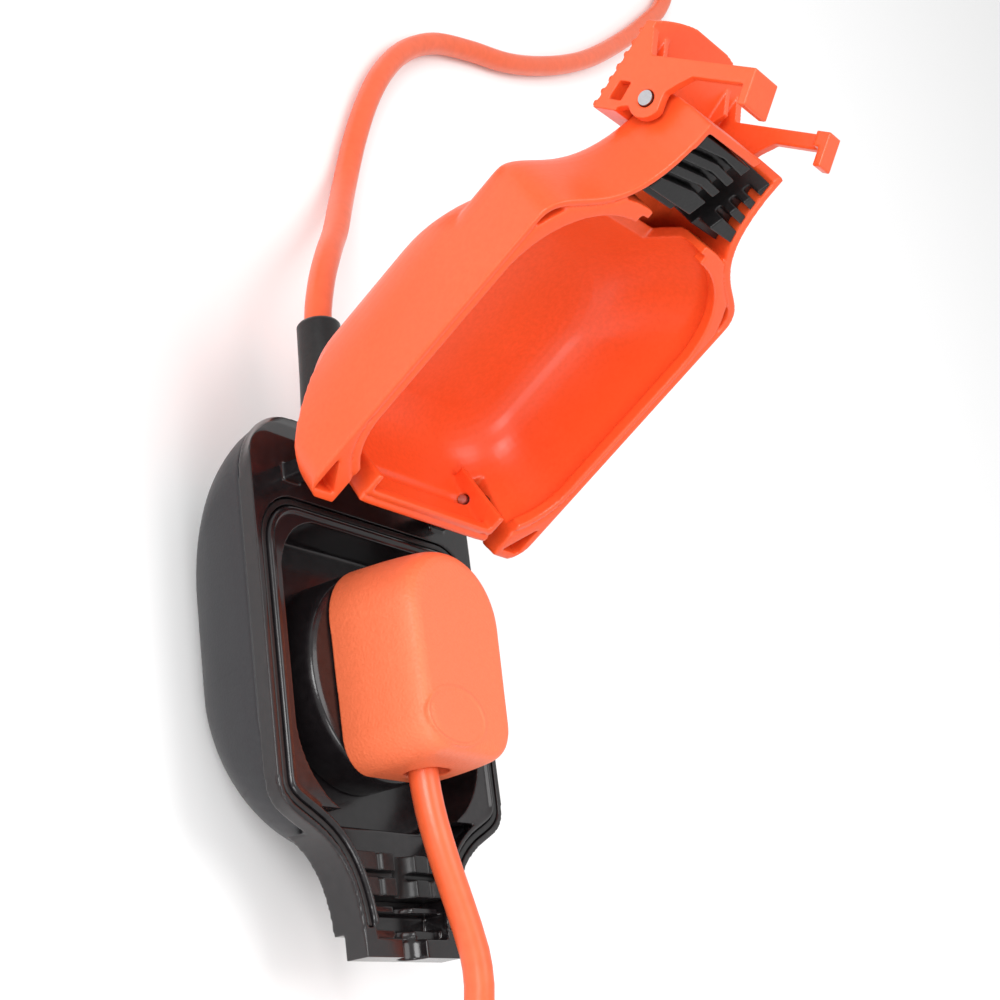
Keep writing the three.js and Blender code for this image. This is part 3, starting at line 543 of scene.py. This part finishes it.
def inset(points, distance):
    here = np.array(points)
    into = here - np.roll(here, 1, axis=0)
    out = np.roll(here, -1, axis=0) - here
    into /= np.linalg.norm(into, axis=1, keepdims=True)
    out /= np.linalg.norm(out, axis=1, keepdims=True)
    normal = np.column_stack((-(into + out)[:, 1], (into + out)[:, 0]))
    normal /= np.linalg.norm(normal, axis=1, keepdims=True)
    stretch = 1 / (normal[:, 1] * into[:, 0] - normal[:, 0] * into[:, 1])
    return [tuple(p) for p in here + normal * (distance * stretch)[:, None]]


def rounded(half, bottom, top, bottom_radius, top_radius):
    points = (
        arc(half - bottom_radius, bottom + bottom_radius, bottom_radius, -90, 0)
        + arc(half - top_radius, top - top_radius, top_radius, 0, 90)
        + arc(top_radius - half, top - top_radius, top_radius, 90, 180)
        + arc(bottom_radius - half, bottom + bottom_radius, bottom_radius, 180, 270)
    )
    return without_repeats(points)


def eased_profile(stations, steps):
    """Extra stations on a smooth curve through a side's (height, draw) stations."""
    heights, draws = zip(*stations)
    along = np.concatenate(([0.0], np.cumsum(np.hypot(np.diff(heights), np.diff(draws)))))
    route = smooth_route([Vector((z, d, 0)) for z, d in stations], along[-1] / steps)
    return [(p.x, p.y) for p in route]


outline = box_outline(LID_END)
base_outline = box_outline(BASE_END)
seal_line = box_outline(SEAL_END)

# ---- Rear cover ----
PILLOW = [(0, 18), (1.2, 14.5), (4, 10.6), (9, 6.6), (16, 3.2), (25, 0.9), (SEAM_Z - GAP, 0)]
PILLOW_EDGE = 0.4
COVER_SCREWS = [(36, 30), (-36, 30), (33, -28), (-33, -28)]
# A screw column's radius and top, and the radii of the holes for the screw's head and its shank.
COLUMN = {"radius": 4.8, "top": 13.7, "head": 3.4, "shank": 1.9}


def pillow(grow, lift, top):
    rings = []
    for z, draw in eased_profile(PILLOW, 22):
        points = rounded(
            HALF_WIDTH - PILLOW_EDGE - draw + grow, COVER_BOTTOM + 2 * draw - grow,
            BASE_END[0] - PILLOW_EDGE - 3 * draw + grow, 36 - 0.7 * draw + 0.6 * grow,
            BASE_END[1] - 0.7 * draw + 0.6 * grow,
        )
        rings.append((points, min(z + lift, top)))
    return loft(rings[:-1] + [(rings[-1][0], top)])


def cover_skin():
    return pillow(0, 0, SEAM_Z - GAP)


def rear_cover():
    cover = cut(cover_skin(), pillow(-WALL, WALL, SEAM_Z + 1))
    for place in COVER_SCREWS:
        column = bar("z", COLUMN["radius"], 0, COLUMN["top"], place)
        cover = joined(cover, common(column, cover_skin()))
        head = bar("z", COLUMN["head"], -1, 9, place)
        cover = cut(cover, head, bar("z", COLUMN["shank"], 8, 15, place))
    neck = common(
        prism(inset(base_outline, -GAP), NECK_BOTTOM - GAP, HIGH),
        box(-REACH, REACH, PAST_NECK, NECK_ROOT + GAP, 0, HIGH),
    )
    cover = cut(cover, neck, bar("y", SLEEVE_HOLE["cover"], 40, 80, (0, SLEEVE_Z)))
    return softened(cover, 0.6, 4)


finished(rear_cover(), "cover_shell", "box", "black_shell", "rear_cover")

# ---- Front housing ----
POST_INNER = 31.5
POST_OUTER = 38.5
POST_RADIUS = 3.9
# How far the channel's two sides are set in from the seal line, its depth, and its end in y.
CHANNEL = {"outer": 2, "inner": 4.6, "depth": 3.4, "end": -80}
# The same for the lip's two sides, then how far it stands above the front face, and its end in y.
LIP = {"outer": 5.2, "inner": 6.4, "rise": 0.7, "end": -79}
TROUGH_RIBS = [(-75, -73.4), (-81.6, -80)]
TRAY_HOLE = 28


def hinge_post(side):
    x0, x1 = sorted((side * POST_INNER, side * POST_OUTER))
    y, z = HINGE
    stem = box(x0, x1, y - POST_RADIUS, y + 1, FLANGE_Z - GAP, z)
    post = joined(bar("x", POST_RADIUS, x0, x1, HINGE), stem)
    return cut(post, bar("x", HINGE_BORE, x0 - 1, x1 + 1, HINGE))


def front_housing():
    neck_space = joined(
        box(-REACH, REACH, PAST_NECK, NECK_ROOT, 0, HIGH), box(-22, 22, -60, -48, 0, HIGH),
    )
    neck = common(prism(base_outline, NECK_BOTTOM, FLANGE_Z), neck_space)
    tray = common(
        prism(inset(outline, 7), CAVITY_FLOOR - 2.4, SEAM_Z + 1),
        prism(rounded(44.4, -52.6, 37.6, 30, 20), 0, 50),
    )
    tray = common(tray, pillow(-WALL - GAP, WALL + GAP, SEAM_Z + 2))
    hollow = common(
        prism(inset(outline, 9.2), CAVITY_FLOOR, FLANGE_Z + 1),
        prism(rounded(42.4, -50.4, 35.4, 27, 18), 0, 50),
    )
    trough = common(
        prism(inset(outline, 5.4), TROUGH_FLOOR, FLANGE_Z + 1), box(-REACH, REACH, -85, -48, 0, HIGH),
    )
    channel = cut(
        prism(inset(seal_line, CHANNEL["outer"]), FLANGE_Z - CHANNEL["depth"], FLANGE_Z + 1),
        prism(inset(seal_line, CHANNEL["inner"]), FLANGE_Z - 5, FLANGE_Z + 2),
        box(-REACH, REACH, PAST_NECK, CHANNEL["end"], 0, HIGH),
    )
    # The rim's side is upright, with a shoulder that slopes up to the front face.
    rim = loft([
        (base_outline, SEAM_Z), (base_outline, SEAM_Z + 1.6),
        (shoulder_outline(0.45), SEAM_Z + 3.6), (box_outline(FACE_END), FLANGE_Z),
    ])
    body = joined(rim, neck, tray)
    body = cut(body, hollow, trough)
    for y0, y1 in TROUGH_RIBS:
        body = joined(body, box(-16.3, 16.3, y0, y1, 28, FLANGE_Z - 3))
    # A raised lip runs beside the gasket's channel, on the cavity's side.
    lip = cut(
        prism(inset(seal_line, LIP["outer"]), FLANGE_Z - 1, FLANGE_Z + LIP["rise"]),
        prism(inset(seal_line, LIP["inner"]), 0, HIGH),
        box(-REACH, REACH, PAST_NECK, LIP["end"], 0, HIGH),
    )
    body = joined(body, lip)
    body = cut(
        body, channel, bar("y", 5.4, -90, -72, (0, FLANGE_Z)),
        box(-REACH, REACH, -90, CATCH["y"], 20, CATCH["z"]),
    )
    body = cut(body, bar("z", TRAY_HOLE, 10, CAVITY_FLOOR + 1, (0, SOCKET_Y)))
    body = cut(body, bar("y", SLEEVE_HOLE["housing"], 46, 80, (0, SLEEVE_Z)))
    recess_end = SLEEVE_START + FLANGE_RECESS["depth"]
    recess = bar("y", FLANGE_RECESS["radius"], SLEEVE_START - GAP, recess_end, (0, SLEEVE_Z))
    body = cut(body, recess)
    body = joined(body, hinge_post(1), hinge_post(-1))
    return softened(body, 0.5, 3)


def shoulder_outline(share):
    """An outline part of the way from the base's widest line to the edge of its front face."""
    end = tuple(a + (b - a) * share for a, b in zip(BASE_END, FACE_END))
    return box_outline(end)


finished(front_housing(), "housing_shell", "box", "black_gloss", "front_housing")


def rim_gasket():
    """A rubber band in the channel with two rounded beads along its top."""
    band = cut(
        prism(inset(seal_line, 2.3), FLANGE_Z - 3.1, FLANGE_Z - 0.9),
        prism(inset(seal_line, 4.3), 0, HIGH),
    )
    for start in (2.4, 3.5):
        bead = cut(
            prism(inset(seal_line, start), FLANGE_Z - 1.5, FLANGE_Z - 0.3),
            prism(inset(seal_line, start + 0.7), 0, HIGH),
        )
        band = joined(band, bead)
    band = cut(band, box(-REACH, REACH, PAST_NECK, -79.7, 0, HIGH))
    return softened(band, 0.3, 2)


finished(rim_gasket(), "gasket_band", "box", "black_rubber", "rim_gasket")


def neck_seal():
    """The rubber block below the flex. A wide groove and two narrow ones run along the neck, and a
    slot runs across it."""
    block = common(
        box(-30, 30, -71, -59, TROUGH_FLOOR + GAP, FLANGE_Z - 0.5),
        prism(inset(outline, 5.8), 0, HIGH),
    )
    groove = bar("y", 4.9, -72, -58, (0, FLANGE_Z + 0.6))
    block = cut(block, groove, box(-30, 30, -66, -64, 34.5, 50))
    for x in (-11.5, 11.5):
        block = cut(block, bar("y", 1.3, -72, -58, (x, FLANGE_Z - 0.3)))
    return softened(block, 0.35, 3)


finished(neck_seal(), "neck_rubber", "box", "black_rubber", "neck_seal")


# ---- Socket face and strain relief ----
FACE_Z = FLANGE_Z - 1
BOSS_RADIUS = 32.0
SLOT_PLAY = 0.5
CARRIER_SCREWS = [(-20, 6), (20, 6)]
SLEEVE_SIDE = [
    (8.8, SLEEVE_START), (8.8, SLEEVE_START + 3.9), (7.05, SLEEVE_START + 4.7),
    (7.05, BASE_END[0] + 0.4), (8.4, BASE_END[0] + 1), (8.4, BASE_END[0] + 10), (7.6, 94),
    (7, SLEEVE_END - 1), (6.2, SLEEVE_END),
]


def socket_face():
    side = [(FACE_Z - 14.7, 0), (FACE_Z - 2.4, 0), (FACE_Z - 0.7, 0.8), (FACE_Z, 2.6)]
    face = loft([(circle(BOSS_RADIUS - draw, SOCKET_Y, 96), z) for z, draw in side])
    face = cut(face, bar("z", BOSS_RADIUS - 2.6, 0, FACE_Z - 3, (0, SOCKET_Y), 72))
    for pin in PINS:
        face = cut(face, pin_room(pin, SLOT_PLAY, FACE_Z - 5, FACE_Z + 1))
    for place in CARRIER_SCREWS:
        face = joined(face, bar("z", 3.6, 12, FACE_Z - 1, place))
        face = cut(face, bar("z", 1.8, 11, 22, place))
    return softened(face, 0.4, 2)


finished(socket_face(), "socket_boss", "box", "black_gloss", "socket_face")


def strain_relief():
    """The sleeve round the flex, turned about it."""
    sleeve = loft([(circle(radius, 0, 64), y) for radius, y in SLEEVE_SIDE])
    laid(sleeve, "y", 0, SLEEVE_Z)
    sleeve = cut(sleeve, bar("y", 4.7, SLEEVE_START - 1, SLEEVE_END + 1, (0, SLEEVE_Z)))
    return softened(sleeve, 0.3, 2)


finished(strain_relief(), "sleeve", "box", "black_rubber", "strain_relief")

# ---- Lid ----
BELL = [
    (RIM_Z, 0), (RIM_Z + 14, 0.8), (FLANGE_Z + 26, 2.6), (FLANGE_Z + 33, 5.4), (FLANGE_Z + 37, 9),
    (FLANGE_Z + 39.2, 14), (ROOF_Z, 19),
]
NECK_DOME = [
    (RIM_Z, 0), (FLANGE_Z + 14, 0.7), (FLANGE_Z + 22, 2.2), (FLANGE_Z + 26, 4.6), (NECK_ROOF_Z, 9),
]
OUTLET = {"x": 8.25, "y": -74, "z": FLANGE_Z + 10.5, "slant": 20.6, "radius": 5.4}


def bell(grow, lift, low, end=LID_END):
    rings = []
    for z, draw in eased_profile(BELL, 22):
        d = draw - grow
        slope = 0.7 * max(0, z - FLANGE_Z - 12)
        points = rounded(
            HALF_WIDTH - d, COVER_BOTTOM + d + slope, end[0] - d, 34 - 0.7 * d,
            max(2, end[1] - 0.6 * d),
        )
        rings.append((points, z + lift))
    return loft([(rings[0][0], low)] + rings[1:])


def dome(grow, lift, low):
    rings = [(inset(outline, draw - grow), z + lift) for z, draw in eased_profile(NECK_DOME, 12)]
    return loft([(rings[0][0], low)] + rings[1:])


def outlet_space(length):
    radius = OUTLET["radius"]
    slot = joined(
        box(-radius, radius, -length, length, FLANGE_Z - 8, OUTLET["z"]),
        bar("y", radius, -length, length, (0, OUTLET["z"])),
    )
    turn = Matrix.Rotation(math.radians(OUTLET["slant"]), 4, "Z")
    slot.data.transform(Matrix.Translation((OUTLET["x"], OUTLET["y"], 0)) @ turn)
    return slot


# The lid's corner beside the hinge: its end in y and corner radius, and its side in (y, z).
CORNER_END = (58.0, 9.0)
CORNER_SIDE = [
    (26, RIM_Z), (57, RIM_Z), (57.8, 45), (52, 53), (47, 58), (43, 61.5), (36, 67), (26, 71),
]
CORNER_POCKET = [(41.2, 54.4), (49.4, 43), (49.4, 54.4)]


def lid_corner(side):
    """A nearly square corner that slopes back above the hinge, with the bell's hollow kept clear,
    and the outline of the pocket in its underside."""
    a, b = sorted((side * (POST_OUTER + 0.6), side * (HALF_WIDTH + 1)))
    corner = common(bell(0, 0, RIM_Z, CORNER_END), side_plate(CORNER_SIDE, a, b))
    corner = cut(corner, bell(-WALL, -WALL, RIM_Z - 1))
    pocket = [(side * x, y) for x, y in CORNER_POCKET]
    return corner, pocket[::side]


def lid_shell():
    wall = cut(bell(0, 0, RIM_Z - 2), bell(-WALL, -WALL, RIM_Z - 3))
    wall = cut(wall, box(-15, 15, -80, -40, 0, FLANGE_Z + 20))
    neck_room = cut(dome(-WALL, -WALL, RIM_Z - 1), wall)
    shell = joined(bell(0, 0, RIM_Z), dome(0, 0, RIM_Z))
    shell = cut(shell, bell(-WALL, -WALL, RIM_Z - 1), neck_room)
    lip = cut(
        prism(rounded(HALF_WIDTH - 1, COVER_BOTTOM + 1.4, LID_END[0] - 1, 33, 25), RIM_Z, RIM_Z + 4),
        prism(rounded(HALF_WIDTH - 4.8, COVER_BOTTOM + 5.2, LID_END[0] - 4.8, 30, 22), 0, HIGH),
        box(-18, 18, -70, -50, 0, HIGH),
    )
    shell = joined(shell, common(lip, prism(inset(outline, 1), 0, HIGH)))
    for side in (-1, 1):
        corner, pocket = lid_corner(side)
        shell = joined(shell, corner)
        a, b = sorted((side * (POST_INNER - 2.8), side * (POST_INNER - 0.6)))
        shell = joined(shell, box(a, b, 44, 53, RIM_Z, HINGE[1] + 9))
        shell = cut(shell, prism(pocket, RIM_Z - 1, RIM_Z + 7))
        a, b = sorted((side * (POST_INNER - 0.6), side * (POST_OUTER + 0.6)))
        shell = cut(shell, box(a, b, 38, 60, 30, HINGE[1] + 7.5))
    groove = cut(
        prism(inset(outline, 1.9), RIM_Z - 1, RIM_Z + 0.9), prism(inset(outline, 2.9), 0, HIGH),
        box(-REACH, REACH, PAST_NECK, -80, 0, HIGH),
    )
    outlet = common(outlet_space(20), box(-REACH, REACH, PAST_NECK, -80, 0, 100))
    hinge_bore = bar("x", HINGE_BORE, -43, 43, HINGE)
    latch_bore = bar("x", LATCH_BORE, -40, 40, LATCH)
    shell = cut(shell, groove, hinge_bore, outlet, latch_bore)
    return softened(shell, 0.5, 5)


finished(lid_shell(), "lid_body", "lid", "orange_shell", "lid_shell")


def lid_seal():
    block = common(
        box(-30, 30, -84.6, -62, RIM_Z + 0.6, FLANGE_Z + 17.4),
        dome(-WALL - GAP, -WALL - GAP, RIM_Z - 5),
    )
    block = cut(block, outlet_space(30))
    for y in (-82.4, -77.6, -72.8):
        fin = [(-30, y + 3), (-6, y), (30, y + 3), (30, y + 5.2), (-6, y + 2.2), (-30, y + 5.2)]
        block = cut(block, prism(fin, 30, RIM_Z + 4.8))
    block = cut(block, box(-30, 30, -64.6, -60, 30, RIM_Z + 6))
    return softened(block, 0.35, 2)


finished(lid_seal(), "lid_rubber", "lid", "black_rubber", "lid_seal")

# ---- Latch lever ----
LEG_LENGTH = 31
PAD_TOP = (4.5, 16.4)
PAD_TIP = (-27.4, 6.4)
HOOKS = [(-ARM_OUTER, -13.4), (19.4, ARM_OUTER)]
HOOK_HEIGHT = 4.5
CATCH_PLAY = 1
# The pad's tip is an arc about a point on the middle line, between the pin and the hinge: how far
# that is from the pin in y, the arc's radius, and half its sweep in degrees.
TIP = {"from_pin": 34.5, "radius": 62, "sweep": 24.8}
# Across the pad, from the one nearest the hinge.
RIBS = {"count": 8, "first": 3.2, "spacing": 3.7, "radius": 1.15}


def at_pin(points):
    return [(LATCH[0] + y, LATCH[1] + z) for y, z in points]


def latch_lever():
    boss = arc(0, 0, 5.6, -62, 62, 10)
    arm = [
        (-12.2, 3), (-12.2, -LEG_LENGTH), (-7.6, -LEG_LENGTH), (-7.6, -12), (-4.8, -8), (-2.4, -5.2),
        *boss, (3.6, 8.5), (-4, 6.6), (-4, 10.8), (-19, 6.2), (-19.6, 5.2),
    ]
    lever = joined(*(side_plate(at_pin(arm), *sorted((s * ARM_INNER, s * ARM_OUTER))) for s in (-1, 1)))
    pad = [PAD_TOP, PAD_TIP, (-26.8, 3.3), (4.5, 13.1)]
    plate = side_plate(at_pin(pad), -ARM_OUTER, ARM_OUTER)
    sweep = TIP["sweep"]
    tip = arc(0, LATCH[0] + TIP["from_pin"], TIP["radius"], 270 - sweep, 270 + sweep, 30)
    rear = [(ARM_OUTER, LATCH[0] + 6), (-ARM_OUTER, LATCH[0] + 6)]
    lever = joined(lever, common(plate, prism(tip + rear, 40, 100)))
    cross = at_pin([(4.5, 14), (1.5, 14), (1.5, 8.6), (4.5, 8.6)])
    lever = joined(lever, side_plate(cross, -ARM_OUTER, ARM_OUTER))
    # Two webs stiffen the pad's underside over the neck.
    web = [(-4, 12), (-22, 6), (-12, 3.4)]
    for x in (-18, 18):
        lever = joined(lever, side_plate(at_pin(web), x - 1, x + 1))
    fall = (PAD_TIP[1] - PAD_TOP[1]) / (PAD_TIP[0] - PAD_TOP[0])
    for i in range(RIBS["count"]):
        y = RIBS["first"] - i * RIBS["spacing"]
        half_chord = math.sqrt(max(0, TIP["radius"] ** 2 - (TIP["from_pin"] - y) ** 2))
        reach = min(ARM_OUTER - 0.4, half_chord - 2)
        if reach > 4:
            place = (LATCH[0] + y, LATCH[1] + PAD_TOP[1] + (y - PAD_TOP[0]) * fall)
            lever = joined(lever, bar("x", RIBS["radius"], -reach, reach, place, 16))
    foot = LATCH[1] - LEG_LENGTH
    for a, b in HOOKS:
        lever = joined(lever, box(a, b, -93.2, -88.6, foot, foot + HOOK_HEIGHT))
        lever = joined(lever, box(a, b, -93.2, -83, foot, CATCH["z"] - CATCH_PLAY))
    lever = cut(lever, bar("x", LATCH_BORE, -40, 40, LATCH))
    return softened(lever, 0.35, 2)


finished(latch_lever(), "latch_body", "latch", "orange_shell", "latch_lever")

# ---- Plug ----
PLUG_SIDE = [(0, 0), (12, 0.3), (20, 0.8), (25, 1.4), (27.4, 2.3), (28.5, 3.4), (PLUG_DEPTH, 5.2)]
BADGE = {"x": -6.8, "y": -26.4, "half_width": 13.6, "half_height": 8.6, "line": 0.8, "proud": 0.35}


def plug_outline(draw):
    half = PLUG_HALF - draw
    bottom = PLUG_BOTTOM + draw
    top = PLUG_TOP - draw
    shoulder = top - 19
    corner = 10 - 0.3 * draw
    right = arc(half - 0.8 - corner, bottom + corner, corner, -90, 0)
    crown = bezier((half, shoulder), (half, shoulder + 11), (half * 0.58, top), (0, top))
    side = right + crown
    return without_repeats(side + [(-x, y) for x, y in reversed(side)])


def plug_badge():
    """A plain raised oval ring, with nothing inside it."""
    face = PLUG_BACK + PLUG_DEPTH
    x, y, wide, high, line = (BADGE[k] for k in ("x", "y", "half_width", "half_height", "line"))
    return cut(
        prism(oval(x, y, wide, high, 64), face - 1.2, face + BADGE["proud"]),
        prism(oval(x, y, wide - line, high - line, 64), face - 2, face + 2),
    )


def plug_body():
    rings = [(plug_outline(draw), PLUG_BACK + rise) for rise, draw in eased_profile(PLUG_SIDE, 22)]
    body = loft(rings)
    # The hole for the cord is widened to one side.
    radius, end = PLUG_CORD_HOLE["radius"], PLUG_BOTTOM + PLUG_CORD_HOLE["depth"]
    for x in (0, 3.4):
        body = cut(body, bar("y", radius, PLUG_BOTTOM - 2, end, (x, PLUG_CORD_Z)))
    for pin in PINS:
        body = cut(body, pin_room(pin, GAP, PLUG_BACK - 1, PLUG_BACK + 3.3))
    body = cut(body, box(-4.9, 4.9, -27.8, -1.2, PLUG_BACK - 1, PLUG_BACK + 8.8))
    return softened(joined(body, plug_badge()), 0.4, 2)


finished(plug_body(), "plug_shell", "box", "orange_plug", "plug_body")

# ---- Floor and light ----
floor_mesh = bpy.data.meshes.new("floor")
FLOOR_HALF = 6.0
floor_corners = [(x * FLOOR_HALF, y * FLOOR_HALF, 0) for x, y in ((-1, -1), (1, -1), (1, 1), (-1, 1))]
floor_mesh.from_pydata(floor_corners, [], [(0, 1, 2, 3)])
floor = bpy.data.objects.new("floor", floor_mesh)
bpy.context.scene.collection.objects.link(floor)
floor_look = Nodes("floor")
floor_look.shader.inputs["Base Color"].default_value = (0.96, 0.96, 0.96, 1)
floor_look.shader.inputs["Roughness"].default_value = 0.8
floor.data.materials.append(floor_look.material)


def soft_light(name, place, target, size, power):
    lamp = bpy.data.lights.new(name, "AREA")
    lamp.shape = "DISK"
    lamp.size = size
    lamp.energy = power
    holder = bpy.data.objects.new(name, lamp)
    bpy.context.scene.collection.objects.link(holder)
    along = Vector(target) - Vector(place)
    holder.matrix_world = aimed(Vector(place), along, Vector((0, 1, 0.01)))


soft_light("key", (-1.0, 0.05, 0.66), (0, 0, 0.05), 0.6, 8)
soft_light("top", (0.1, 0.1, 1.3), (0, 0, 0), 0.8, 5)
soft_light("front", (-0.5, -0.8, 0.6), (0, 0, 0.05), 0.5, 3)

world = bpy.data.worlds.new("world")
world.use_nodes = True
world.node_tree.nodes["Background"].inputs["Color"].default_value = (1, 1, 1, 1)
world.node_tree.nodes["Background"].inputs["Strength"].default_value = 0.76
bpy.context.scene.world = world
